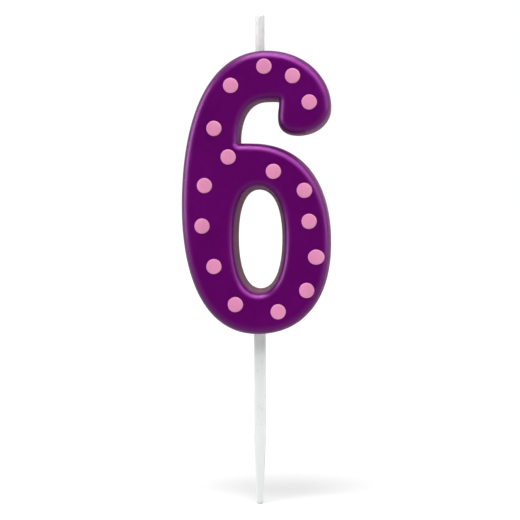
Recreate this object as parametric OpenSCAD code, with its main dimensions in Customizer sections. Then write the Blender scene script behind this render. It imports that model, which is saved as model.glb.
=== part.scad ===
// Number birthday candle: a moulded wax numeral six with wax dots, a short wick and a plastic cake pick.
// Frame: +Z is up and the numeral's face looks towards -Y. The origin is on the axis shared by the wick
// and the pick, at the height of the numeral's lowest point and halfway through its thickness.
// Lengths are in millimetres.

/* [Numeral] */
// Height of the numeral, without wick and pick
numeral_height = 60.1; // [55:0.1:75]
// Thickness from the front face to the back face
numeral_thickness = 10; // [8:0.5:14]
// Radius of the shoulder between the front face and the side walls
shoulder_radius = 2; // [1:0.1:2.2]
// How far the outer side walls lean in between the back face and the shoulder
wall_draft = 0.2; // [0.1:0.1:0.8]
// How far the walls of the hole in the bowl lean in
counter_draft = 0.6; // [0.2:0.1:0.8]
// Radius of the two inside corners, where the strokes part
notch_radius = 0.2; // [0.1:0.05:0.3]
// How full the strokes' curves are: 0.55 makes ovals, more makes squarer curves
stroke_fullness = 0.63; // [0.58:0.01:0.66]
// How full the curves round the hook are
hook_fullness = 0.57; // [0.5:0.01:0.6]

/* [Colour coat] */
// Thickness of the coloured wax over the front and the shoulder
coat_thickness = 0.35; // [0.2:0.05:0.6]
// How far the coat runs down the side wall below the shoulder
coat_skirt = 0.7; // [0.3:0.1:1.5]
// How far the coat's lower edge stands proud of the side wall
coat_lip = 0.15; // [0.05:0.05:0.15]

/* [Dots] */
// Diameter of a wax dot
dot_diameter = 3.25; // [2:0.05:3.6]
// How far a dot stands up from the coat
dot_rise = 0.2; // [0.1:0.05:0.4]
// How deep a dot is bedded in the coat
dot_bed = 0.1; // [0.05:0.05:0.15]

/* [Wick] */
// Diameter of the waxed wick
wick_diameter = 1.95; // [1.5:0.05:2.5]
// Length of wick above the numeral
wick_show = 7.7; // [4:0.1:12]
// Length of wick moulded into the numeral
wick_depth = 9; // [6:0.5:9]

/* [Pick] */
// Width of the pick, seen from the front
pick_width = 2.6; // [2:0.05:3]
// Thickness of the pick, front to back
pick_thickness = 1.6; // [1.2:0.1:2]
// Length of pick below the numeral
pick_length = 36.2; // [25:0.1:60]
// Length of the taper at the pick's lower end
pick_taper = 13.6; // [8:0.1:18]
// Width of the pick at its rounded tip
pick_tip = 1.4; // [0.8:0.1:1.6]
// Length of the barbed end moulded into the numeral
anchor_depth = 7; // [5:0.5:7.5]

/* [Hidden] */
DOT_COUNT = 16;
STRAND_COUNT = 3;

function dot_name(i) = str("dot_", i < 10 ? "0" : "", i);
function strand_name(k) = str("wick_strand_", k);

PURPLE = "#5c0a62";
PINK = "#d98cb4";
IVORY = "#c9b6bc";
WAX_WHITE = "#e6e8e6";
COTTON = "#f0ead8";
PICK_WHITE = "#dfe3e2";

outline_fineness = 3;           // steps along a curve, per square root of its length
shoulder_steps = 5;             // flats across the shoulder
fan_angle = 15;                 // largest turn of the wall at one step round an inside corner
overcut = 1;                    // how far a cutting tool runs past the face that it cuts

dot_edge = 0.5;                 // share of a dot's rise that is left at its rim
dot_sides = 32;                 // flats round a dot that lies over the shoulder
wick_cap = 0.5;                 // wax over the strands' upper ends
wick_round = 0.45;              // rounding of the wick's top edge
barb_pitch = 2;                 // height from barb to barb on the anchor
barb_length = 1.4;              // height of the slope below a barb
barb_bite = 0.4;                // depth of a barb
tip_thickness = 0.9;            // thickness of the pick at its tip

wick_foot = numeral_height - wick_depth;
wick_top = numeral_height + wick_show;
strand_top = wick_top - wick_cap;
strand_diameter = 0.36 * wick_diameter;
strand_offset = 0.236 * wick_diameter;

front_y = -numeral_thickness / 2;
back_y = numeral_thickness / 2;
shoulder_y = front_y + shoulder_radius;
coat_edge_y = shoulder_y + coat_skirt;

// Insets are measured square to the outline, into the wax.
function wall_top(draft) = notch_radius + draft;                    // wall at the shoulder
function shoulder_end(draft) = wall_top(draft) + shoulder_radius;   // where the flat of the face begins
plate_inset = shoulder_end(max(wall_draft, counter_draft)) + 0.2;   // edge of the flat plate
band_inset = plate_inset + 0.2;             // inner edge of the bands, which the plate overlaps

// The outlines are drawn for a numeral of this height, with their inside corners left sharp.
DRAWN_HEIGHT = 60.1;
grow = numeral_height / DRAWN_HEIGHT;

// Headings, as [x, z].
RIGHT = [1, 0];
DOWN = [0, -1];
LEFT = [-1, 0];
UP = [0, 1];

// Both outlines run clockwise, seen from the front, through the points where they are level or upright.
// Each node is [[x, z], heading in, heading out, fullness of the curve that follows].
OUTLINE = [
    [[-4, 40.8], DOWN, RIGHT, stroke_fullness],         // corner between stem and bowl
    [[-2, 40.8], RIGHT, RIGHT, stroke_fullness],        // top of the bowl
    [[15.3, 19.3], DOWN, DOWN, stroke_fullness],        // right side of the bowl
    [[-0.5, -0.2], LEFT, LEFT, stroke_fullness],        // lowest point
    [[-16.8, 27.3], UP, UP, stroke_fullness],           // left side of the stem
    [[1.5, 60.3], RIGHT, RIGHT, hook_fullness],         // highest point
    [[15.3, 48.2], DOWN, DOWN, hook_fullness],          // right side of the hook
    [[8, 42], LEFT, LEFT, stroke_fullness],             // underside of the hook's round end
    [[3.5, 45.8], UP, UP, stroke_fullness],             // left side of the hook's round end
    [[3.7, 49.2], UP, LEFT, stroke_fullness],           // corner inside the hook
    [[1.5, 49.2], LEFT, LEFT, stroke_fullness]          // ceiling of the gap under the hook
];
COUNTER = [
    [[-0.3, 30.5], RIGHT, RIGHT, stroke_fullness],      // top of the hole in the bowl
    [[4.4, 20.3], DOWN, DOWN, stroke_fullness],         // right
    [[0, 9.8], LEFT, LEFT, stroke_fullness],            // bottom
    [[-4.5, 20.8], UP, UP, stroke_fullness]             // left
];

// Centre of each dot as [x, z], to half a millimetre, from the top of the numeral down.
DOTS = [
    [1, 56.5], [7, 54.5], [-6, 52.5], [10.5, 49],
    [-9.5, 43.5], [-6.5, 37.5], [3, 34.5], [-11.5, 31.5],
    [9.5, 30.5], [10.5, 24], [-12, 23], [12, 16.5],
    [-9.5, 14.5], [10, 9.5], [-5, 6.5], [4, 5]
];
RUN_DOT = 12;                   // the dot that ran wide over the shoulder
run_width = 1.08;               // how much wider that dot is

// Left-hand unit normal of a direction. On the outline it points out of the wax, on the counter into it.
function left_of(v) = [-v.y, v.x] / norm(v);

// How far the curve from one node to the next is pulled along a heading.
function pull(a, b, heading) = a[3] * abs((b[0] - a[0]) * heading) * heading;

// A cubic curve from node a to node b, which leaves and arrives on their headings.
function curve_point(a, b, t) =
    let (s = 1 - t, leave = a[0] + pull(a, b, a[2]), arrive = b[0] - pull(a, b, b[1]))
    s * s * s * a[0] + 3 * s * s * t * leave + 3 * s * t * t * arrive + t * t * t * b[0];

function curve_direction(a, b, t) =
    let (s = 1 - t, leave = pull(a, b, a[2]), arrive = pull(a, b, b[1]))
    s * s * leave + 2 * s * t * (b[0] - arrive - a[0] - leave) + t * t * arrive;

// Angle by which the outline turns left at a node: zero except at a corner.
function turn_at(a) = atan2(a[1].x * a[2].y - a[1].y * a[2].x, a[1] * a[2]);

// A corner's point, repeated while its wall normal swings from the arriving to the leaving direction.
function corner_fan(a) =
    let (turn = turn_at(a), start = left_of(a[1]), steps = ceil(abs(turn) / fan_angle))
    [for (k = [0 : 1 : steps - 1])
        let (w = turn * k / steps)
        [a[0], [start.x * cos(w) - start.y * sin(w), start.x * sin(w) + start.y * cos(w)]]];

// Points along a closed outline, each with its left-hand normal.
function walk(nodes) = [
    for (i = [0 : len(nodes) - 1])
        let (
            a = nodes[i],
            b = nodes[(i + 1) % len(nodes)],
            steps = ceil(outline_fineness * sqrt(norm(b[0] - a[0])))
        )
        each concat(
            [for (k = [0 : steps - 1])
                [curve_point(a, b, k / steps), left_of(curve_direction(a, b, k / steps))]],
            corner_fan(b)
        )
];

outer_walk = walk(OUTLINE);
counter_walk = walk(COUNTER);

// An outline moved into the wax by inset. side is 1 for the numeral's outline and -1 for the counter.
function inset_outline(walked, side, inset) = [for (p = walked) grow * p[0] - side * inset * p[1]];

// A loop of [inset, y] points carried once round an outline, as a closed band of wax.
// The loop runs from the inner edge at the back, out over the wall, to the inner edge at the front.
module band(walked, side, loop) {
    n = len(walked);
    m = len(loop);
    points = [for (r = loop, p = inset_outline(walked, side, r[0])) [p.x, r[1], p.y]];
    faces = [
        for (k = [0 : m - 1], i = [0 : n - 1])
            let (
                a = k * n + i,
                b = k * n + (i + 1) % n,
                c = (k + 1) % m * n + i,
                d = (k + 1) % m * n + (i + 1) % n
            )
            each side > 0 ? [[a, b, c], [b, d, c]] : [[a, c, b], [b, c, d]]
    ];
    polyhedron(points, faces, convexity = 6);
}

// The flat middle of the numeral, between two depths.
module plate(back, front) {
    translate([0, back, 0])
        rotate([90, 0, 0])
            linear_extrude(back - front)
                difference() {
                    polygon(inset_outline(outer_walk, 1, plate_inset));
                    polygon(inset_outline(counter_walk, -1, plate_inset));
                }
}

// A whole numeral from two wall sections: a band round each outline, and the plate between them.
module numeral(outer_loop, counter_loop) {
    band(outer_walk, 1, outer_loop);
    band(counter_walk, -1, counter_loop);
    plate(outer_loop[0][1], outer_loop[len(outer_loop) - 1][1]);
}

// Quarter round of the shoulder, as [inset, y] points from the wall to the front.
function shoulder(draft, radius) =
    [for (k = [0 : shoulder_steps])
        let (w = 90 * k / shoulder_steps)
        [shoulder_end(draft) - radius * cos(w), shoulder_y - radius * sin(w)]];

function reversed(list) = [for (i = [len(list) - 1 : -1 : 0]) list[i]];

function core_under_coat(draft) = concat(
    [[wall_top(draft) + coat_thickness, coat_edge_y]],
    shoulder(draft, shoulder_radius - coat_thickness),
    [[band_inset, front_y + coat_thickness]]
);
function coat_loop(draft) = concat(
    reversed(core_under_coat(draft)),
    [[wall_top(draft), coat_edge_y]],
    shoulder(draft, shoulder_radius),
    [[band_inset, front_y]]
);
function core_loop(draft) = concat(
    [[band_inset, back_y], [notch_radius, back_y], [wall_top(draft) + coat_lip, coat_edge_y]],
    core_under_coat(draft)
);

function distance_to_line(p, a, b) =
    let (t = min(1, max(0, ((p - a) * (b - a)) / ((b - a) * (b - a)))))
    norm(p - a - t * (b - a));

// Distance of a point [x, z] of the face from the numeral's outline.
function edge_distance(p) =
    let (line = [for (q = outer_walk) grow * q[0]], n = len(line))
    min([for (i = [0 : n - 1])
        let (a = line[i], b = line[(i + 1) % n])
        a == b ? norm(p - a) : distance_to_line(p, a, b)]);

// How far the coat's surface lies behind the front face at a point [x, z].
function surface_drop(p) =
    let (over = max(0, shoulder_end(wall_draft) - edge_distance(p)))
    shoulder_radius - sqrt(shoulder_radius * shoulder_radius - over * over);

// A point at [x, z], lifted off the coat's surface.
function over_face(p, lift) = [p.x, front_y + surface_drop(p) - lift, p.y];

// Section of a dot as [share of its radius, lift], from under its rim to near the middle of its dome.
dot_section = concat(
    [[1, -dot_bed]],
    [for (f = [1, 0.8, 0.45]) [f, dot_rise * (1 - (1 - dot_edge) * f * f)]]
);

module flat_dot(centre, radius) {
    section = concat([[0, -dot_bed]], dot_section, [[0, dot_rise]]);
    translate([centre.x, front_y, centre.y])
        rotate([90, 0, 0])
            rotate_extrude($fn = 48)
                polygon([for (p = section) [radius * p[0], p[1]]]);
}

// The same dot laid along the coat's surface, where it reaches over the shoulder.
module draped_dot(centre, half_width, half_height) {
    rings = concat([[0.5, -dot_bed]], dot_section);
    last = len(rings) * dot_sides + 1;
    points = concat(
        [over_face(centre, -dot_bed)],
        [for (r = rings, k = [0 : dot_sides - 1])
            let (w = 360 * k / dot_sides)
            over_face(centre + r[0] * [half_width * cos(w), half_height * sin(w)], r[1])],
        [over_face(centre, dot_rise)]
    );
    faces = concat(
        [for (k = [0 : dot_sides - 1]) [0, 1 + k, 1 + (k + 1) % dot_sides]],
        [for (j = [0 : len(rings) - 2], k = [0 : dot_sides - 1])
            let (a = 1 + j * dot_sides + k, b = 1 + j * dot_sides + (k + 1) % dot_sides)
            each [[a, a + dot_sides, b], [b, a + dot_sides, b + dot_sides]]],
        [for (k = [0 : dot_sides - 1])
            [last, last - dot_sides + (k + 1) % dot_sides, last - dot_sides + k]]
    );
    polyhedron(points, faces, convexity = 2);
}

module dot(i) {
    centre = grow * DOTS[i - 1];
    radius = dot_diameter / 2;
    half_width = i == RUN_DOT ? radius * run_width : radius;
    color(PINK)
        if (edge_distance(centre) - half_width > shoulder_end(wall_draft))
            flat_dot(centre, radius);
        else
            draped_dot(centre, half_width, radius);
}

// Ivory casting: it carries the coat, and holds the wick and the pick's anchor.
module wax_core() {
    color(IVORY)
        difference() {
            numeral(core_loop(wall_draft), core_loop(counter_draft));
            translate([0, 0, wick_foot])
                cylinder(d = wick_diameter, h = wick_depth + overcut, $fn = 48);
            pick();
        }
}

// Coloured layer over the core's front face and shoulder, with a bed for each dot.
module colour_coat() {
    color(PURPLE)
        difference() {
            numeral(coat_loop(wall_draft), coat_loop(counter_draft));
            for (i = [1 : DOT_COUNT]) dot(i);
        }
}

// Stands a strand, or the bore for it, at its place in the wick.
module strand_rod(k, bottom) {
    rotate([0, 0, 360 * k / STRAND_COUNT])
        translate([strand_offset, 0, bottom])
            cylinder(d = strand_diameter, h = strand_top - bottom, $fn = 32);
}

// One cotton strand of the wick.
module wick_strand(k) {
    color(COTTON) strand_rod(k, wick_foot);
}

// Wax that fills and covers the strands, rounded at the top.
module wick_wax() {
    radius = wick_diameter / 2;
    top_edge = [
        for (w = [0 : 22.5 : 90])
            [radius - wick_round * (1 - cos(w)), wick_top - wick_round * (1 - sin(w))]
    ];
    color(WAX_WHITE)
        difference() {
            rotate_extrude($fn = 48)
                polygon(concat([[0, wick_foot], [radius, wick_foot]], top_edge, [[0, wick_top]]));
            for (k = [1 : STRAND_COUNT]) strand_rod(k, wick_foot - overcut);
        }
}

// A right-hand edge, top to bottom, closed with its mirror image.
function both_sides(edge) = concat(edge, [for (p = reversed(edge)) [-p.x, p.y]]);

// Plastic pick: where its front view and its side view cross. The anchor has barbs on both edges.
module pick() {
    half = pick_width / 2;
    tip = pick_tip / 2;
    taper_z = pick_taper - pick_length;
    barbs = [
        for (z = [anchor_depth - barb_pitch : -barb_pitch : barb_length])
            each [[half, z], [half - barb_bite, z], [half, z - barb_length]]
    ];
    round_tip = [for (w = [0 : 15 : 90]) [tip * cos(w), tip - pick_length - tip * sin(w)]];
    front_edge = concat(
        [[half - barb_bite, anchor_depth], [half, anchor_depth - barb_bite]],
        barbs,
        [[half, taper_z]],
        round_tip
    );
    side_edge = [
        [pick_thickness / 2, anchor_depth],
        [pick_thickness / 2, taper_z],
        [tip_thickness / 2, -pick_length]
    ];
    color(PICK_WHITE)
        intersection() {
            rotate([90, 0, 0])
                linear_extrude(2 * pick_thickness, center = true)
                    polygon(both_sides(front_edge));
            rotate([90, 0, 90])
                linear_extrude(2 * pick_width, center = true)
                    polygon(both_sides(side_edge));
        }
}

wax_core();
colour_coat();
for (i = [1 : DOT_COUNT])
    dot(i);
wick_wax();
for (k = [1 : STRAND_COUNT])
    wick_strand(k);
pick();
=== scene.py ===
"""Number birthday candle: a wax six with wax dots, a wick and a plastic cake pick, built on the CAD frame."""
import math

import bmesh
import bpy
import numpy as np
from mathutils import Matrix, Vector, geometry, kdtree


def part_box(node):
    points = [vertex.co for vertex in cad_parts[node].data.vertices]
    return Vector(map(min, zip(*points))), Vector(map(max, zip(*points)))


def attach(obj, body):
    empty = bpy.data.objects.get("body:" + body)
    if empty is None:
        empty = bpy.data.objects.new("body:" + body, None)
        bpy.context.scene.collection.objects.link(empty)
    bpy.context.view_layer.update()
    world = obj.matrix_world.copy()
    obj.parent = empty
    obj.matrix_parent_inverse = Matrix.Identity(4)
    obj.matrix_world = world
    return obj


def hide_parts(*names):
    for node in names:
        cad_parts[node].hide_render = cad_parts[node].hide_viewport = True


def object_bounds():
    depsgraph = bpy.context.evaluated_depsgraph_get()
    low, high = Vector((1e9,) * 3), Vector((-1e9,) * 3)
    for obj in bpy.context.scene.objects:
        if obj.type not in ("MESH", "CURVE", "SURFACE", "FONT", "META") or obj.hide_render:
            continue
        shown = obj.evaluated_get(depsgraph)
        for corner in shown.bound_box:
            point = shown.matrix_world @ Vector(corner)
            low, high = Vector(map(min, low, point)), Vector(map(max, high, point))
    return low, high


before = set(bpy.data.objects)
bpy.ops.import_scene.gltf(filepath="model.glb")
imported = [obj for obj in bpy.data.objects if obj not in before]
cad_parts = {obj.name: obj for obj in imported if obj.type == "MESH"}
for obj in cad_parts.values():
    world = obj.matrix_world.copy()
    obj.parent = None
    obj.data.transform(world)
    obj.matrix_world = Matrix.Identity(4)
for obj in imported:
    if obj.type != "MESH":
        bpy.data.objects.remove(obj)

MM = 0.001                      # shapes are worked out in millimetres and stored in metres
CAD_BOUNDS = [list(map(float, corner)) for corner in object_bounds()]


# ---------------------------------------------------------------- sizes from the frame

def box_mm(node):
    """Lowest and highest corner of a CAD node, in millimetres."""
    low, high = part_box(node)
    return np.array(low) / MM, np.array(high) / MM


CORE_LOW, CORE_HIGH = box_mm("wax_core")
COAT_LOW, COAT_HIGH = box_mm("colour_coat")
FRONT_Y = COAT_LOW[1]           # the flat of the coloured face
BACK_Y = CORE_HIGH[1]           # the flat back
SEAM_Y = COAT_HIGH[1]           # where the coat ends on the side wall
COAT_THICKNESS = CORE_LOW[1] - FRONT_Y
SHOULDER = 2.0                  # radius of the rounded shoulder
SHOULDER_Y = FRONT_Y + SHOULDER
OUTER_LEAN = CORE_HIGH[0] - COAT_HIGH[0]    # how far the outer wall leans in from the back edge
COUNTER_LEAN = 0.6              # how far the walls of the hole lean in
LIP = 0.15                      # how far the coat's lower edge stands proud of the wall


# ---------------------------------------------------------------- outlines

FLAT = 0.001                    # faces of the flat lie within this of its depth
CROWDED = 0.15                  # points nearer than this lie round a corner
STEP = 0.4                      # longest step along a visible outline
TURN = 4.0                      # largest turn at one step, in degrees
FINE_STEP = 0.05                # the same two for the outline that distances are measured from
FINE_TURN = 1.0


def cad_loops(node, depth):
    """Closed edge loops of a CAD node's flat at one depth, as arrays of [x, z], longest first."""
    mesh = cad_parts[node].data
    sides = {}                  # a dict keeps its order, so each run starts the loops at the same points
    spots = {}
    for polygon in mesh.polygons:
        corners = [np.array(mesh.vertices[i].co) / MM for i in polygon.vertices]
        if max(abs(c[1] - depth) for c in corners) > FLAT:
            continue
        keys = [(round(c[0], 3), round(c[2], 3)) for c in corners]
        for c, key in zip(corners, keys):
            spots.setdefault(key, (c[0], c[2]))
        for a, b in zip(keys, keys[1:] + keys[:1]):
            if a != b:
                sides[a, b] = True
    onward = {a: b for a, b in sides if (b, a) not in sides}
    loops = []
    while onward:
        start, here = next(iter(onward.items()))
        loop = [start]
        del onward[start]
        while here != start:
            loop.append(here)
            here = onward.pop(here)
        loops.append(np.array([spots[key] for key in loop]))
    return sorted(loops, key=len, reverse=True)


def clockwise(loop):
    """The loop, turned round if it runs anticlockwise as seen from the front."""
    x, z = loop[:, 0], loop[:, 1]
    doubled_area = float(np.dot(x, np.roll(z, -1)) - np.dot(z, np.roll(x, -1)))
    return loop if doubled_area < 0 else loop[::-1]


def smooth_tangents(loop):
    """Unit tangents at the points of a closed loop. Points that crowd round a corner turn evenly."""
    before, after = np.roll(loop, 1, 0), np.roll(loop, -1, 0)
    gap_in = np.linalg.norm(loop - before, axis=1)[:, None]
    gap_out = np.linalg.norm(after - loop, axis=1)[:, None]
    arrive, leave = (loop - before) / gap_in, (after - loop) / gap_out
    tangent = arrive * gap_out + leave * gap_in
    tangent /= np.linalg.norm(tangent, axis=1)[:, None]
    crowded_in, crowded_out = gap_in[:, 0] < CROWDED, gap_out[:, 0] < CROWDED
    for start in np.flatnonzero(crowded_out & ~crowded_in):
        end = start
        while crowded_out[end % len(loop)]:
            end += 1
        first = 2 * arrive[start] - tangent[start - 1]
        last = 2 * leave[end % len(loop)] - tangent[(end + 1) % len(loop)]
        low = math.atan2(first[1], first[0])
        turn = (math.atan2(last[1], last[0]) - low + math.pi) % (2 * math.pi) - math.pi
        for k in range(start, end + 1):
            w = low + turn * (k - start) / (end - start)
            tangent[k % len(loop)] = (math.cos(w), math.sin(w))
    return tangent


def refine(loop, longest, widest):
    """A smooth closed curve through the loop's points, as (points, normals).

    No step is longer than longest (mm) or turns more than widest (degrees). The normals point to the right.
    """
    tangent = smooth_tangents(loop)
    points, directions = [], []
    for i in range(len(loop)):
        p, q = loop[i], loop[(i + 1) % len(loop)]
        u, v = tangent[i], tangent[(i + 1) % len(loop)]
        chord = float(np.linalg.norm(q - p))
        turn = math.degrees(math.acos(max(-1.0, min(1.0, float(np.dot(u, v))))))
        steps = max(math.ceil(chord / longest), math.ceil(turn / widest), 1)
        for t in np.arange(steps) / steps:
            h = (2 * t**3 - 3 * t**2 + 1, t**3 - 2 * t**2 + t, 3 * t**2 - 2 * t**3, t**3 - t**2)
            d = (6 * t**2 - 6 * t, 3 * t**2 - 4 * t + 1, 6 * t - 6 * t**2, 3 * t**2 - 2 * t)
            points.append(h[0] * p + h[1] * chord * u + h[2] * q + h[3] * chord * v)
            directions.append(d[0] * p + d[1] * chord * u + d[2] * q + d[3] * chord * v)
    directions = np.array(directions)
    directions /= np.linalg.norm(directions, axis=1)[:, None]
    return np.array(points), np.stack([directions[:, 1], -directions[:, 0]], 1)


def edge_finder(loop):
    """A function that gives the distance of a point of the face from an outline, in millimetres."""
    fine = refine(loop, FINE_STEP, FINE_TURN)[0]
    tree = kdtree.KDTree(len(fine))
    for index, point in enumerate(fine):
        tree.insert((point[0], 0, point[1]), index)
    tree.balance()
    return lambda x, z: tree.find((x, 0, z))[2]


# Both outlines run clockwise and are those of the back edge. Their normals point into the wax.
outer_cad, counter_cad = map(clockwise, cad_loops("wax_core", BACK_Y))
OUTER, OUTER_NORMALS = refine(outer_cad, STEP, TURN)
COUNTER, COUNTER_NORMALS = refine(counter_cad, STEP, TURN)
COUNTER_NORMALS = -COUNTER_NORMALS
WALLS = (
    (OUTER, OUTER_NORMALS, OUTER_LEAN, edge_finder(outer_cad)),
    (COUNTER, COUNTER_NORMALS, COUNTER_LEAN, edge_finder(counter_cad)),
)


# ---------------------------------------------------------------- slow unevenness of hand-poured wax

FACE_DIP = 0.06                 # deepest dip of the coloured face
BACK_SINK = 0.08                # how far the whole poured back has sunk
BACK_DIP = 0.1                  # deepest dip of the back below that
SEAM_RISE = 0.3                 # how far the coat's edge wanders up the side wall
WAVES = 4                       # sine waves in one unevenness


def wave(x, z, pitch, seed):
    """A smooth uneven value from 0 to 1, about pitch millimetres from hump to hump.

    It is a sum of sine waves, and the bare factors only keep them from lining up.
    """
    total = 0.0
    for n in range(WAVES):
        angle = seed * 1.7 + n * 2.4
        along = x * math.cos(angle) + z * math.sin(angle)
        frequency = 2 * math.pi / pitch * (0.8 + 0.17 * n)
        total += math.sin(frequency * along + seed * 5.1 + n)
    return 0.5 + 0.5 * total / WAVES


def face_dip(x, z, drop=0.0):
    """How far the coat's surface dips below its highest level. The dip fades out over the shoulder."""
    return FACE_DIP * wave(x, z, pitch=11.0, seed=1.0) * (1 - drop / SHOULDER)


def back_dip(x, z):
    """How far the poured back has sunk below its edge."""
    return BACK_SINK + BACK_DIP * wave(x, z, pitch=9.0, seed=12.0)


def coat_y(x, z):
    """Depth of the coat's surface at a point of the face."""
    drop = 0.0
    for _, _, lean, edge_distance in WALLS:
        over = min(SHOULDER, max(0.0, lean + SHOULDER - edge_distance(x, z)))
        drop = max(drop, SHOULDER - math.sqrt(SHOULDER**2 - over**2))
    return FRONT_Y + drop + face_dip(x, z, drop)


def seam_y(x, z):
    """Depth at which the coat ends on the side wall. The dipped edge runs a little unevenly."""
    return SEAM_Y - SEAM_RISE * wave(x, z, pitch=13.0, seed=3.0)


# ---------------------------------------------------------------- mesh building

WELD = 2e-6                     # points nearer than this (m) become one
SLIVER = 1e-7                   # edges shorter than this (m) are dissolved
SHEET_PITCH = 1.0               # distance between the inner points of a flat sheet
ROW_SHARE = 0.866               # distance of their rows, as a share of the pitch
RIM_SHARE = 0.6                 # how far they keep from the rim, as a share of the pitch
SAME_POINT = 1e-6               # points nearer than this (mm) are one point of the sheet


class Build:
    """Collects points (mm) and faces, and makes one welded object of them."""

    def __init__(self):
        self.points = []
        self.faces = []

    def add(self, points):
        """Adds points, and gives their numbers."""
        first = len(self.points)
        self.points.extend(tuple(map(float, p)) for p in points)
        return list(range(first, first + len(points)))

    def strip(self, rows):
        """Quads between neighbouring closed rows of point numbers."""
        for low, high in zip(rows, rows[1:]):
            for i in range(len(low)):
                j = (i + 1) % len(low)
                self.faces.append((low[i], low[j], high[j], high[i]))

    def fan(self, middle, row, flip=False):
        """Triangles that close a row of point numbers round a point in its middle."""
        centre = self.add([middle])[0]
        for i, a in enumerate(row):
            face = (centre, a, row[(i + 1) % len(row)])
            self.faces.append(face[::-1] if flip else face)

    def make(self, name, material, slot, *replaced):
        """Makes the piece, with its points welded and its faces turned outwards."""
        mesh = bpy.data.meshes.new(name)
        mesh.from_pydata([Vector(p) * MM for p in self.points], [], self.faces)
        work = bmesh.new()
        work.from_mesh(mesh)
        bmesh.ops.remove_doubles(work, verts=work.verts, dist=WELD)
        bmesh.ops.dissolve_degenerate(work, edges=work.edges, dist=SLIVER)
        bmesh.ops.recalc_face_normals(work, faces=work.faces)
        work.to_mesh(mesh)
        work.free()
        mesh.shade_smooth()
        mesh.materials.append(material)
        piece = bpy.data.objects.new(name, mesh)
        bpy.context.scene.collection.objects.link(piece)
        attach(piece, "root")
        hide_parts(*replaced)


def inside(points, loop):
    """Which of the points [x, z] lie inside a closed loop."""
    x, z = points[:, 0][:, None], points[:, 1][:, None]
    a, b = loop, np.roll(loop, -1, 0)
    spans = (a[:, 1] > z) != (b[:, 1] > z)
    rise = np.where(b[:, 1] == a[:, 1], 1.0, b[:, 1] - a[:, 1])
    cross = a[:, 0] + (z - a[:, 1]) / rise * (b[:, 0] - a[:, 0])
    return (np.sum(spans & (x < cross), 1) % 2).astype(bool)


def flat_sheet(outer, counter):
    """Points [x, z] and triangles that fill the numeral between two loops, over a grid of inner points."""
    low, high = outer.min(0), outer.max(0)
    rows = np.arange(low[1], high[1], SHEET_PITCH * ROW_SHARE)
    grid = np.array([
        (x, z)
        for k, z in enumerate(rows)
        for x in np.arange(low[0] + (k % 2) * SHEET_PITCH / 2, high[0], SHEET_PITCH)
    ])
    grid = grid[inside(grid, outer) & ~inside(grid, counter)]
    rim = np.vstack([outer, counter])
    near = np.array([np.min(np.hypot(rim[:, 0] - x, rim[:, 1] - z)) for x, z in grid])
    grid = grid[near > SHEET_PITCH * RIM_SHARE]
    loops = [(0, len(outer)), (len(outer), len(rim))]
    edges = [(i, i + 1 if i + 1 < end else start) for start, end in loops for i in range(start, end)]
    points = [Vector(p) for p in np.vstack([rim, grid])]
    made_points, _, made_faces, *_ = geometry.delaunay_2d_cdt(points, edges, [], 0, SAME_POINT)
    flat = np.array([tuple(p) for p in made_points])
    triangles = np.array(made_faces)
    middles = flat[triangles].mean(1)
    keep = inside(middles, outer) & ~inside(middles, counter)
    return flat, triangles[keep]


def inset_ring(outline, normals, inset, y):
    """Points of an outline moved into the wax; inset and y may vary from point to point."""
    moved = outline + normals * np.broadcast_to(inset, len(outline))[:, None]
    return np.stack([moved[:, 0], np.broadcast_to(y, len(outline)), moved[:, 1]], 1)


# ---------------------------------------------------------------- materials

GRAIN = 1.6                     # pitch of the noise in every roughness (mm)
WAX_IOR = 1.44
PLASTIC_IOR = 1.49
WICK_GRAIN = (1, 1, 0.4)        # scales of a noise that is drawn out along Z
FIBRE_GRAIN = (1, 1, 0.15)
CLOUD_GRAIN = (1, 1, 0.3)
FLOW_GRAIN = (1, 1, 0.25)


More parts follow.
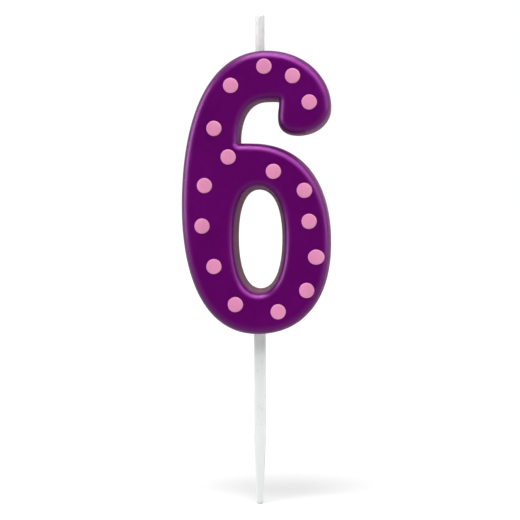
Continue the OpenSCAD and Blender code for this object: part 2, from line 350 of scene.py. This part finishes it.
class Paint:
    """A node material: one Principled surface, with noises that feed its colour, roughness and bump.

    Pitches are in millimetres, and sockets are named with _ for each space.
    """

    def __init__(self, name, roughness, **sockets):
        self.material = bpy.data.materials.new(name)
        self.material.use_nodes = True
        self.nodes = self.material.node_tree.nodes
        self.links = self.material.node_tree.links
        self.surface = self.nodes["Principled BSDF"]
        for socket, value in sockets.items():
            self.surface.inputs[socket.replace("_", " ")].default_value = value
        self.place = self.nodes.new("ShaderNodeTexCoord").outputs["Object"]
        low, high = roughness
        self.links.new(self.band(self.noise(GRAIN, 3), low, high), self.surface.inputs["Roughness"])

    def noise(self, pitch, detail=2.0, stretch=(1, 1, 1)):
        """A noise with humps about pitch apart."""
        mapping = self.nodes.new("ShaderNodeMapping")
        mapping.inputs["Scale"].default_value = stretch
        self.links.new(self.place, mapping.inputs["Vector"])
        node = self.nodes.new("ShaderNodeTexNoise")
        node.inputs["Scale"].default_value = 1 / (pitch * MM)
        node.inputs["Detail"].default_value = detail
        self.links.new(mapping.outputs["Vector"], node.inputs["Vector"])
        return node.outputs["Fac"]

    def band(self, value, low, high, start=0.3, end=0.7):
        """A value stretched so that start to end becomes low to high."""
        node = self.nodes.new("ShaderNodeMapRange")
        for socket, number in (("From Min", start), ("From Max", end), ("To Min", low), ("To Max", high)):
            node.inputs[socket].default_value = number
        self.links.new(value, node.inputs["Value"])
        return node.outputs["Result"]

    def blend(self, value, first, second):
        """A colour between two others, by a value from 0 to 1. Either may be a socket or a colour."""
        node = self.nodes.new("ShaderNodeMix")
        node.data_type = "RGBA"
        self.links.new(value, node.inputs["Factor"])
        socket_a, socket_b = node.inputs[6:8]       # the node's names repeat for each data type
        for socket, colour in ((socket_a, first), (socket_b, second)):
            if isinstance(colour, bpy.types.NodeSocket):
                self.links.new(colour, socket)
            else:
                socket.default_value = (*colour, 1)
        return node.outputs[2]

    def mottle(self, noise, first, second):
        """A colour that drifts between two others."""
        return self.blend(self.band(noise, 0, 1), first, second)

    def flecks(self, noise, most, start, end, ground, fleck):
        """A ground colour with flecks, which come in as the noise goes from start to end, up to most."""
        return self.blend(self.band(noise, 0, most, start, end), ground, fleck)

    def colour(self, socket):
        """Gives the surface a colour."""
        self.links.new(socket, self.surface.inputs["Base Color"])

    def satin(self, steep, glancing):
        """Gloss of a dull skin of wax: tinted steep when seen square on, and glancing when seen aslant.

        Seen along the surface, it is rough too, so it has no mirror-like edge.
        """
        slant = self.nodes.new("ShaderNodeLayerWeight").outputs["Facing"]
        tint = self.blend(self.band(slant, 0, 1, 0.01, 0.12), steep, glancing)
        self.links.new(tint, self.surface.inputs["Specular Tint"])
        dull = self.nodes.new("ShaderNodeMix")
        self.links.new(self.band(slant, 0, 1, 0.6, 0.9), dull.inputs["Factor"])
        self.links.new(self.surface.inputs["Roughness"].links[0].from_socket, dull.inputs["A"])
        dull.inputs["B"].default_value = 1.0
        self.links.new(dull.outputs["Result"], self.surface.inputs["Roughness"])

    def bumps(self, *layers):
        """Adds bump layers, each as (noise, height in millimetres), and gives the finished material."""
        below = None
        for value, height in layers:
            node = self.nodes.new("ShaderNodeBump")
            node.inputs["Strength"].default_value = 1
            node.inputs["Distance"].default_value = height * MM
            self.links.new(value, node.inputs["Height"])
            if below is not None:
                self.links.new(below, node.inputs["Normal"])
            below = node.outputs["Normal"]
        self.links.new(below, self.surface.inputs["Normal"])
        return self.material


def coat_wax():
    """Deep purple wax with a faint lighter bloom."""
    paint = Paint("purple_wax", (0.28, 0.38), Subsurface_Weight=0.1, Subsurface_Scale=0.5 * MM,
                  Subsurface_Radius=(1.0, 0.25, 1.0), IOR=WAX_IOR)
    paint.satin((0.7, 0.03, 0.7), (1.0, 0.24, 1.0))
    ground = paint.mottle(paint.noise(9, 2), (0.062, 0.0004, 0.067), (0.077, 0.0008, 0.083))
    paint.colour(paint.flecks(paint.noise(0.9, 4), 0.25, 0.5, 0.9, ground, (0.105, 0.004, 0.115)))
    return paint.bumps((paint.noise(2.4, 2), 0.05), (paint.noise(0.35, 2), 0.004))


def core_wax():
    """Dull mauve wax, cloudy and specked."""
    paint = Paint("mauve_wax", (0.5, 0.64), Subsurface_Weight=0.2, Subsurface_Scale=0.8 * MM,
                  Subsurface_Radius=(1.0, 0.6, 0.6), IOR=WAX_IOR, Specular_IOR_Level=0.25)
    paint.satin((0.8, 0.7, 0.75), (1, 0.9, 0.95))
    ground = paint.mottle(paint.noise(6, 3), (0.135, 0.060, 0.080), (0.180, 0.088, 0.112))
    paint.colour(paint.flecks(paint.noise(0.5, 3), 0.5, 0.58, 0.8, ground, (0.22, 0.14, 0.16)))
    return paint.bumps((paint.noise(3.0, 3), 0.08), (paint.noise(0.4, 3), 0.01))


def dot_wax():
    """Pink wax with lighter specks."""
    paint = Paint("pink_wax", (0.38, 0.5), Subsurface_Weight=0.25, Subsurface_Scale=0.6 * MM,
                  Subsurface_Radius=(1.0, 0.5, 0.7), IOR=WAX_IOR)
    ground = paint.mottle(paint.noise(5, 2), (0.56, 0.185, 0.34), (0.62, 0.215, 0.385))
    paint.colour(paint.flecks(paint.noise(0.4, 3), 0.4, 0.55, 0.8, ground, (0.69, 0.30, 0.465)))
    return paint.bumps((paint.noise(1.1, 2), 0.02), (paint.noise(0.25, 2), 0.004))


def wick_white():
    """White wax with the wick's grain along it."""
    paint = Paint("wick_wax", (0.45, 0.6), Subsurface_Weight=0.4, Subsurface_Scale=0.8 * MM,
                  Subsurface_Radius=(1.0, 0.95, 0.85), IOR=WAX_IOR)
    paint.colour(paint.mottle(paint.noise(1.5, 3), (0.59, 0.59, 0.585), (0.65, 0.65, 0.645)))
    return paint.bumps((paint.noise(0.5, 3, WICK_GRAIN), 0.03), (paint.noise(0.12, 2), 0.005))


def cotton():
    """Unbleached fibres that run along the strand."""
    paint = Paint("cotton", (0.8, 0.95))
    paint.colour(paint.mottle(paint.noise(0.1, 3, FIBRE_GRAIN), (0.78, 0.73, 0.62), (0.88, 0.85, 0.76)))
    return paint.bumps((paint.noise(0.08, 3, FIBRE_GRAIN), 0.02))


def pick_plastic():
    """White moulded plastic with faint flow marks along the pick."""
    paint = Paint("white_plastic", (0.26, 0.36), Subsurface_Weight=0.35, Subsurface_Scale=1.0 * MM,
                  Subsurface_Radius=(1.0, 1.0, 1.0), IOR=PLASTIC_IOR)
    paint.colour(paint.mottle(paint.noise(4, 3, CLOUD_GRAIN), (0.62, 0.64, 0.634), (0.675, 0.692, 0.685)))
    return paint.bumps((paint.noise(1.2, 2, FLOW_GRAIN), 0.015), (paint.noise(0.15, 2), 0.002))


# ---------------------------------------------------------------- the numeral

SHEET_INSET = 2.9               # rim of the flat sheets, from the back edge
BACK_EDGE = 0.25                # rounding of the poured back's edge
BACK_RINGS = (SHEET_INSET, 2.0, 1.3, 0.7)   # insets of the rings that carry the back's dips to its edge
DIP_START = 0.5                 # inset where the dips begin
DIP_REACH = 2.4                 # how much further in they are whole
COAT_BEAD = 0.12                # rounding of the coat's lower edge
CLEAR = 0.01                    # gap between the core and the coat that lies on it
WALL_RIPPLE = 0.06              # deepest ripple of the side walls
WALL_RINGS = np.linspace(0.12, 1, 9)        # rings of the side wall, as shares of the way from the back edge
UNDER_Y = FRONT_Y + COAT_THICKNESS          # underside of the coat's flat


def dipped_ring(outline, normals, inset, drop):
    """A ring of the coat's outer surface."""
    ring = inset_ring(outline, normals, inset, FRONT_Y + drop)
    ring[:, 1] += [face_dip(x, z, drop) for x, _, z in ring]
    return ring


def coat_rows(outline, normals, lean):
    """Rings of the coat: out from under the face, round the lower edge and back over the shoulder."""
    seam = np.array([seam_y(x, z) for x, z in outline])
    inner = SHOULDER - COAT_THICKNESS
    face = lean + SHOULDER
    rows = [inset_ring(outline, normals, SHEET_INSET, UNDER_Y)]
    for w in np.radians(np.linspace(90, 0, 7)):
        inset = face - inner * math.cos(w)
        rows.append(inset_ring(outline, normals, inset, SHOULDER_Y - inner * math.sin(w)))
    rows.append(inset_ring(outline, normals, lean + COAT_THICKNESS, seam))
    for w in np.radians((90, 60, 30, 0)):
        inset = lean + COAT_BEAD * (1 - math.cos(w))
        rows.append(inset_ring(outline, normals, inset, seam - COAT_BEAD * (1 - math.sin(w))))
    for w in np.radians(np.linspace(0, 90, 17)):
        drop = SHOULDER * (1 - math.sin(w))
        rows.append(dipped_ring(outline, normals, face - SHOULDER * math.cos(w), drop))
    rows.append(dipped_ring(outline, normals, SHEET_INSET, 0.0))
    return rows


def core_rows(outline, normals, lean):
    """Rings of the core: from the poured back over its edge, down the wall and in under the coat."""
    seam = np.array([seam_y(x, z) for x, z in outline])
    rows = []
    for inset in BACK_RINGS:
        ring = inset_ring(outline, normals, inset, BACK_Y)
        ring[:, 1] -= [back_dip(x, z) * min(1.0, (inset - DIP_START) / DIP_REACH) for x, _, z in ring]
        rows.append(ring)
    for w in np.radians((90, 60, 30, 0)):
        inset = BACK_EDGE * (1 - math.cos(w))
        rows.append(inset_ring(outline, normals, inset, BACK_Y - BACK_EDGE * (1 - math.sin(w))))
    for share in WALL_RINGS:
        ripple = np.array([WALL_RIPPLE * wave(x + 9 * share, z, pitch=7.0, seed=5.0) for x, z in outline])
        inset = (lean + LIP) * share + ripple * (1 - share)
        rows.append(inset_ring(outline, normals, inset, BACK_Y + (seam + CLEAR - BACK_Y) * share))
    rows.append(inset_ring(outline, normals, lean + COAT_THICKNESS + CLEAR, seam + CLEAR))
    inner = SHOULDER - COAT_THICKNESS - CLEAR
    for w in np.radians((0, 30, 60, 90)):
        inset = lean + SHOULDER - inner * math.cos(w)
        rows.append(inset_ring(outline, normals, inset, SHOULDER_Y - inner * math.sin(w)))
    rows.append(inset_ring(outline, normals, SHEET_INSET, SHOULDER_Y - inner))
    return rows


def shell(name, section, levels, material, slot, node):
    """A closed numeral: a section carried round both outlines, and a sheet at each of two levels.

    A level is a function that gives the sheet's depth at a point [x, z].
    """
    build = Build()
    for outline, normals, lean, _ in WALLS:
        build.strip([build.add(row) for row in section(outline, normals, lean)])
    flat, triangles = flat_sheet(
        inset_ring(OUTER, OUTER_NORMALS, SHEET_INSET, 0)[:, [0, 2]],
        inset_ring(COUNTER, COUNTER_NORMALS, SHEET_INSET, 0)[:, [0, 2]],
    )
    for level in levels:
        first = build.add([(x, level(x, z), z) for x, z in flat])[0]
        build.faces.extend(tuple(int(i) + first for i in t) for t in triangles)
    build.make(name, material, slot, node)


def build_coat():
    """The coloured layer, hollow below: it lies on the core's face and shoulder."""
    def outside(x, z):
        return FRONT_Y + face_dip(x, z)

    def underside(x, z):
        return UNDER_Y

    shell("numeral_coat", coat_rows, (outside, underside), coat_wax(), "colour_coat", "colour_coat")


def build_core():
    """The casting under the coat."""
    def back(x, z):
        return BACK_Y - back_dip(x, z)

    def front(x, z):
        return UNDER_Y + CLEAR

    shell("numeral_core", core_rows, (back, front), core_wax(), "wax_core", "wax_core")


# ---------------------------------------------------------------- dots

DOT_COUNT = 16
DOT_RISE = 0.19                 # height of a dot over the coat
DOT_BED = 0.1                   # depth of a dot in the coat
DOT_SIDES = 40
DOT_WOBBLE = 0.035              # how far a dot's edge strays inwards, as a share of its radius
DOT_RIM = 0.86                  # share of the radius where its rounded rim begins
DOT_RIM_RISE = 0.78             # share of its height that it has there
DOT_TOP_RINGS = (1, 0.995, 0.98, 0.95, 0.91, DOT_RIM, 0.7, 0.5, 0.3, 0.12)
DOT_BED_RINGS = (0.3, 0.6, 0.85, 0.97)


def dot_lift(share):
    """Height of a dot over the coat, at a share of its radius from the centre."""
    if share > DOT_RIM:
        over = (share - DOT_RIM) / (1 - DOT_RIM)
        return DOT_RISE * DOT_RIM_RISE * math.sqrt(max(0.0, 1 - over**2))
    return DOT_RISE * (1 - (1 - DOT_RIM_RISE) * (share / DOT_RIM)**2)


def build_dot(node, seed, material):
    """A low drop of wax that follows the coat's surface."""
    low, high = box_mm(node)
    middle = (low + high) / 2
    half = (high - low) / 2
    build = Build()

    def ring(share, lift):
        points = []
        for k in range(DOT_SIDES):
            w = 2 * math.pi * k / DOT_SIDES
            wobble = 1 - DOT_WOBBLE * wave(3 * math.cos(w), 3 * math.sin(w), pitch=5.0, seed=seed)
            x = middle[0] + share * wobble * half[0] * math.cos(w)
            z = middle[2] + share * wobble * half[2] * math.sin(w)
            points.append((x, coat_y(x, z) - lift, z))
        return build.add(points)

    tops = [ring(share, dot_lift(share)) for share in DOT_TOP_RINGS]
    unders = [ring(share, -DOT_BED) for share in DOT_BED_RINGS]
    build.strip(unders + tops)
    surface = coat_y(middle[0], middle[2])
    build.fan((middle[0], surface - DOT_RISE, middle[2]), tops[-1])
    build.fan((middle[0], surface + DOT_BED, middle[2]), unders[0], flip=True)
    build.make(node + "_drop", material, "dot_wax", node)


# ---------------------------------------------------------------- wick

WICK_LOW, WICK_HIGH = box_mm("wick_wax")
WICK_RADIUS = (WICK_HIGH[0] - WICK_LOW[0]) / 2
WICK_ROUND = 0.5                # rounding of the wick's top edge
WICK_SIDES = 32
WICK_STEP = 0.16                # height from ring to ring
BRAID_PITCH = 2.6               # height of one turn of the braid that shows through the wax
BRAID_RISE = 0.022              # how far the braid stands out
WICK_LUMPS = 0.02               # depth of the unevenness of the wax
WICK_MARGIN = 0.03              # keeps the braid inside the CAD wick
STRAND_COUNT = 3
STRAND_SIDES = 14
STRAND_STEP = 0.25              # height from ring to ring
STRAND_PITCH = 9.0              # height of one turn of the strands
STRAND_MARGIN = 0.02            # gap between a strand and its place in the wax
STRAND_GROOVE = 0.06            # depth of the grooves between fibres, as a share of the radius
STRAND_POINT = 0.08             # height of the strand's cut end


def wick_radius(w, z):
    """Radius of the waxed wick in the direction w, at a height."""
    turn = 2 * math.pi * z / BRAID_PITCH
    braid = BRAID_RISE * abs(math.sin(1.5 * w + turn / 2)) * abs(math.sin(1.5 * w - turn / 2))
    return WICK_RADIUS - WICK_MARGIN + braid - WICK_LUMPS * wave(2 * w, z, pitch=4.0, seed=8.0)


def build_wick():
    """The wick's wax, with the braid under it showing through."""
    rows = [(z, 1.0) for z in np.arange(WICK_LOW[2], WICK_HIGH[2] - WICK_ROUND, WICK_STEP)]
    for w in np.radians((0, 20, 40, 60, 78)):
        share = 1 - WICK_ROUND / WICK_RADIUS * (1 - math.cos(w))
        rows.append((WICK_HIGH[2] - WICK_ROUND * (1 - math.sin(w)), share))
    build = Build()
    rings = []
    for z, share in rows:
        points = []
        for w in 2 * math.pi * np.arange(WICK_SIDES) / WICK_SIDES:
            radius = wick_radius(w, z) * share
            points.append((radius * math.cos(w), radius * math.sin(w), z))
        rings.append(build.add(points))
    build.strip(rings)
    build.fan((0, 0, WICK_HIGH[2]), rings[-1])
    build.fan((0, 0, WICK_LOW[2]), rings[0], flip=True)
    build.make("wick_coat", wick_white(), "wick_wax", "wick_wax")


def build_strand(number, material):
    """One cotton strand, which winds round the other two inside the wick's wax."""
    node = f"wick_strand_{number}"
    low, high = box_mm(node)
    radius = (high[0] - low[0]) / 2 - STRAND_MARGIN
    middle = (low + high) / 2
    offset = math.hypot(middle[0], middle[1])
    start = math.atan2(middle[1], middle[0])

    def strand_centre(z):
        lead = start + 2 * math.pi * (z - low[2]) / STRAND_PITCH
        return offset * math.cos(lead), offset * math.sin(lead)

    build = Build()
    heights = np.arange(low[2], high[2], STRAND_STEP)
    rings = []
    for z in heights:
        x, y = strand_centre(z)
        points = []
        for w in 2 * math.pi * np.arange(STRAND_SIDES) / STRAND_SIDES:
            fibre = radius * (1 - STRAND_GROOVE * abs(math.sin(2.5 * w + 3 * z)))
            points.append((x + fibre * math.cos(w), y + fibre * math.sin(w), z))
        rings.append(build.add(points))
    build.strip(rings)
    build.fan((*strand_centre(heights[-1]), heights[-1] + STRAND_POINT), rings[-1])
    build.fan((*strand_centre(low[2]), low[2]), rings[0], flip=True)
    build.make(f"cotton_strand_{number}", material, "cotton", node)


# ---------------------------------------------------------------- pick

PICK_LOW, PICK_HIGH = box_mm("pick")
PICK_HALF_WIDTH = PICK_HIGH[0]
PICK_HALF_THICKNESS = PICK_HIGH[1]
PICK_TAPER = 13.6               # length of the taper
PICK_TIP_WIDTH = 0.7            # half of the tip's width
PICK_TIP_THICKNESS = 0.45       # half of the tip's thickness
PICK_EDGE = 0.38                # rounding of the pick's long edges
PICK_TOP_EDGE = (0.1, 0.2)      # height and depth of the bevel round its upper end
BARB_PITCH = 2.0                # height from barb to barb
BARB_LENGTH = 1.4               # height of the slope below a barb
BARB_BITE = 0.4                 # depth of a barb
BARB_STEP = 0.02                # half the height of a barb's shelf
SHAFT_TOP = 0.8                 # height of the plain shaft's first section
TIP_FLAT = 0.35                 # thickness left at the very tip, as a share of the tip's


def pick_sections():
    """Sections of the pick from its top down, as (height, half width, half thickness)."""
    top = PICK_HIGH[2]
    full = (PICK_HALF_WIDTH, PICK_HALF_THICKNESS)
    waist = (PICK_HALF_WIDTH - BARB_BITE, PICK_HALF_THICKNESS)
    bevel_height, bevel_depth = PICK_TOP_EDGE
    sections = [
        (top, waist[0], waist[1] - bevel_depth),
        (top - bevel_height, *waist),
        (top - BARB_BITE, *full),
    ]
    for barb in (top - BARB_PITCH, top - 2 * BARB_PITCH):
        sections += [(barb + BARB_STEP, *full), (barb - BARB_STEP, *waist), (barb - BARB_LENGTH, *full)]
    taper = PICK_LOW[2] + PICK_TAPER
    sections += [(z, *full) for z in np.linspace(SHAFT_TOP, taper, 24)]
    end = PICK_LOW[2] + PICK_TIP_WIDTH
    for share in np.linspace(0, 1, 16)[1:]:
        width = PICK_HALF_WIDTH + (PICK_TIP_WIDTH - PICK_HALF_WIDTH) * share
        thickness = PICK_HALF_THICKNESS + (PICK_TIP_THICKNESS - PICK_HALF_THICKNESS) * share
        sections.append((taper + (end - taper) * share, width, thickness))
    for w in np.radians((20, 40, 58, 74, 84)):
        thickness = PICK_TIP_THICKNESS * (TIP_FLAT + (1 - TIP_FLAT) * math.cos(w))
        sections.append((end - PICK_TIP_WIDTH * math.sin(w), PICK_TIP_WIDTH * math.cos(w), thickness))
    return sections


def rounded_section(z, half_width, half_thickness):
    """A ring of points round the pick: a rectangle with round corners, at a height."""
    edge = min(PICK_EDGE, 0.9 * half_width, 0.9 * half_thickness)
    points = []
    for corner, (sx, sy) in enumerate(((1, 1), (-1, 1), (-1, -1), (1, -1))):
        for w in np.radians(np.linspace(0, 90, 6) + 90 * corner):
            x = sx * (half_width - edge) + edge * math.cos(w)
            y = sy * (half_thickness - edge) + edge * math.sin(w)
            points.append((x, y, z))
    return points


def build_pick():
    """The cake pick, whose barbed end is cast into the numeral."""
    build = Build()
    rings = [build.add(rounded_section(*section)) for section in pick_sections()]
    build.strip(rings)
    build.fan((0, 0, PICK_HIGH[2]), rings[0], flip=True)
    build.fan((0, 0, PICK_LOW[2]), rings[-1])
    build.make("cake_pick", pick_plastic(), "pick", "pick")


# ---------------------------------------------------------------- studio

NUMERAL_MIDDLE = Vector((0, 0, 0.03))       # the lengths in this section are in metres
FLOOR_RADIUS = 4.0
FLOOR_RINGS = 6
FLOOR_SIDES = 64
LAMP_DISTANCE = 0.7
CAMERA_AZIMUTH = 2.2            # degrees to the right of straight in front
CAMERA_ELEVATION = 1.6
CAMERA_DISTANCE = 0.45
CAMERA_TARGET = Vector((0, 0, 0.01576))
CAMERA_LENS = 146.7             # focal length in millimetres


def direction(azimuth, elevation):
    """Unit vector by two angles in degrees. Azimuth 0 is in front of the numeral, and 90 at its right."""
    a, e = math.radians(azimuth), math.radians(elevation)
    return Vector((math.sin(a) * math.cos(e), -math.cos(a) * math.cos(e), math.sin(e)))


def floor_paint():
    """Even pale card."""
    paint = Paint("pale_floor", (0.75, 0.85))
    paint.colour(paint.mottle(paint.noise(60, 3), (0.58, 0.58, 0.58), (0.60, 0.60, 0.60)))
    return paint.material


def build_floor():
    """A wide pale floor, level with the pick's tip."""
    level = CAD_BOUNDS[0][2]
    points = [(0, 0, level)]
    for r in range(1, FLOOR_RINGS + 1):
        reach = FLOOR_RADIUS * (r / FLOOR_RINGS)**2
        for w in 2 * math.pi * np.arange(FLOOR_SIDES) / FLOOR_SIDES:
            points.append((reach * math.cos(w), reach * math.sin(w), level))
    faces = [(0, 1 + k, 1 + (k + 1) % FLOOR_SIDES) for k in range(FLOOR_SIDES)]
    for first in range(1, 1 + (FLOOR_RINGS - 1) * FLOOR_SIDES, FLOOR_SIDES):
        for k in range(FLOOR_SIDES):
            a, b = first + k, first + (k + 1) % FLOOR_SIDES
            faces.append((a, a + FLOOR_SIDES, b + FLOOR_SIDES, b))
    mesh = bpy.data.meshes.new("floor")
    mesh.from_pydata(points, [], faces)
    mesh.materials.append(floor_paint())
    floor = bpy.data.objects.new("floor", mesh)
    bpy.context.scene.collection.objects.link(floor)


def place(item, target, azimuth, elevation, distance):
    """Sets up a lamp or the camera so that it faces a target."""
    towards = direction(azimuth, elevation)
    item.location = target + towards * distance
    item.rotation_euler = towards.to_track_quat("Z", "Y").to_euler()
    bpy.context.scene.collection.objects.link(item)


def rim_light(name, azimuth, elevation, width, height, radiance):
    """A softbox that shows only in the highlights on the shoulders."""
    light = bpy.data.lights.new(name, "AREA")
    light.shape = "RECTANGLE"
    light.size = width
    light.size_y = height
    light.energy = radiance * 4 * width * height        # a lamp's energy counts 4 times its area
    lamp = bpy.data.objects.new(name, light)
    lamp.visible_camera = False
    lamp.visible_diffuse = False
    place(lamp, NUMERAL_MIDDLE, azimuth, elevation, LAMP_DISTANCE)


def far_light(name, azimuth, elevation, spread, strength):
    """A soft light from far away, which lights the whole floor evenly."""
    light = bpy.data.lights.new(name, "SUN")
    light.angle = math.radians(spread)
    light.energy = strength * math.pi
    lamp = bpy.data.objects.new(name, light)
    lamp.visible_camera = False
    place(lamp, NUMERAL_MIDDLE, azimuth, elevation, LAMP_DISTANCE)


def build_world():
    """White all round, and dark in front of the numeral, so that the face keeps its deep colour."""
    world = bpy.data.worlds.new("studio")
    world.use_nodes = True
    nodes, links = world.node_tree.nodes, world.node_tree.links
    split = nodes.new("ShaderNodeSeparateXYZ")
    links.new(nodes.new("ShaderNodeTexCoord").outputs["Generated"], split.inputs[0])
    ramp = nodes.new("ShaderNodeMapRange")
    ramp.interpolation_type = "SMOOTHSTEP"
    for socket, number in (("From Min", -0.65), ("From Max", -0.15), ("To Min", 0.04), ("To Max", 1.02)):
        ramp.inputs[socket].default_value = number
    links.new(split.outputs["Y"], ramp.inputs["Value"])
    links.new(ramp.outputs["Result"], nodes["Background"].inputs["Strength"])
    nodes["Background"].inputs["Color"].default_value = (1, 1, 1, 1)
    bpy.context.scene.world = world


def build_camera():
    """The camera at the photograph's angle."""
    camera = bpy.data.cameras.new("camera")
    camera.lens = CAMERA_LENS
    camera.sensor_width = 36
    camera.clip_start = 0.01
    seat = bpy.data.objects.new("camera", camera)
    place(seat, CAMERA_TARGET, CAMERA_AZIMUTH, CAMERA_ELEVATION, CAMERA_DISTANCE)
    bpy.context.scene.camera = seat


def build_lights():
    """One soft light from above, and softboxes that draw the highlights on the shoulders."""
    far_light("top_light", azimuth=-12, elevation=62, spread=40, strength=1.25)
    rim_light("left_rim", azimuth=-77, elevation=8, width=0.42, height=0.7, radiance=7.0)
    rim_light("right_rim", azimuth=78, elevation=12, width=0.4, height=0.6, radiance=3.2)
    rim_light("top_rim", azimuth=0, elevation=84, width=0.6, height=0.4, radiance=5.5)
    rim_light("crown_rim", azimuth=40, elevation=42, width=0.6, height=0.5, radiance=7.0)


# ---------------------------------------------------------------- the scene

build_camera()
build_core()
build_coat()
pink = dot_wax()
for number in range(1, DOT_COUNT + 1):
    build_dot(f"dot_{number:02d}", float(number), pink)
build_wick()
white_cotton = cotton()
for number in range(1, STRAND_COUNT + 1):
    build_strand(number, white_cotton)
build_pick()
build_floor()
build_world()
build_lights()
bpy.context.scene.view_settings.view_transform = "Standard"
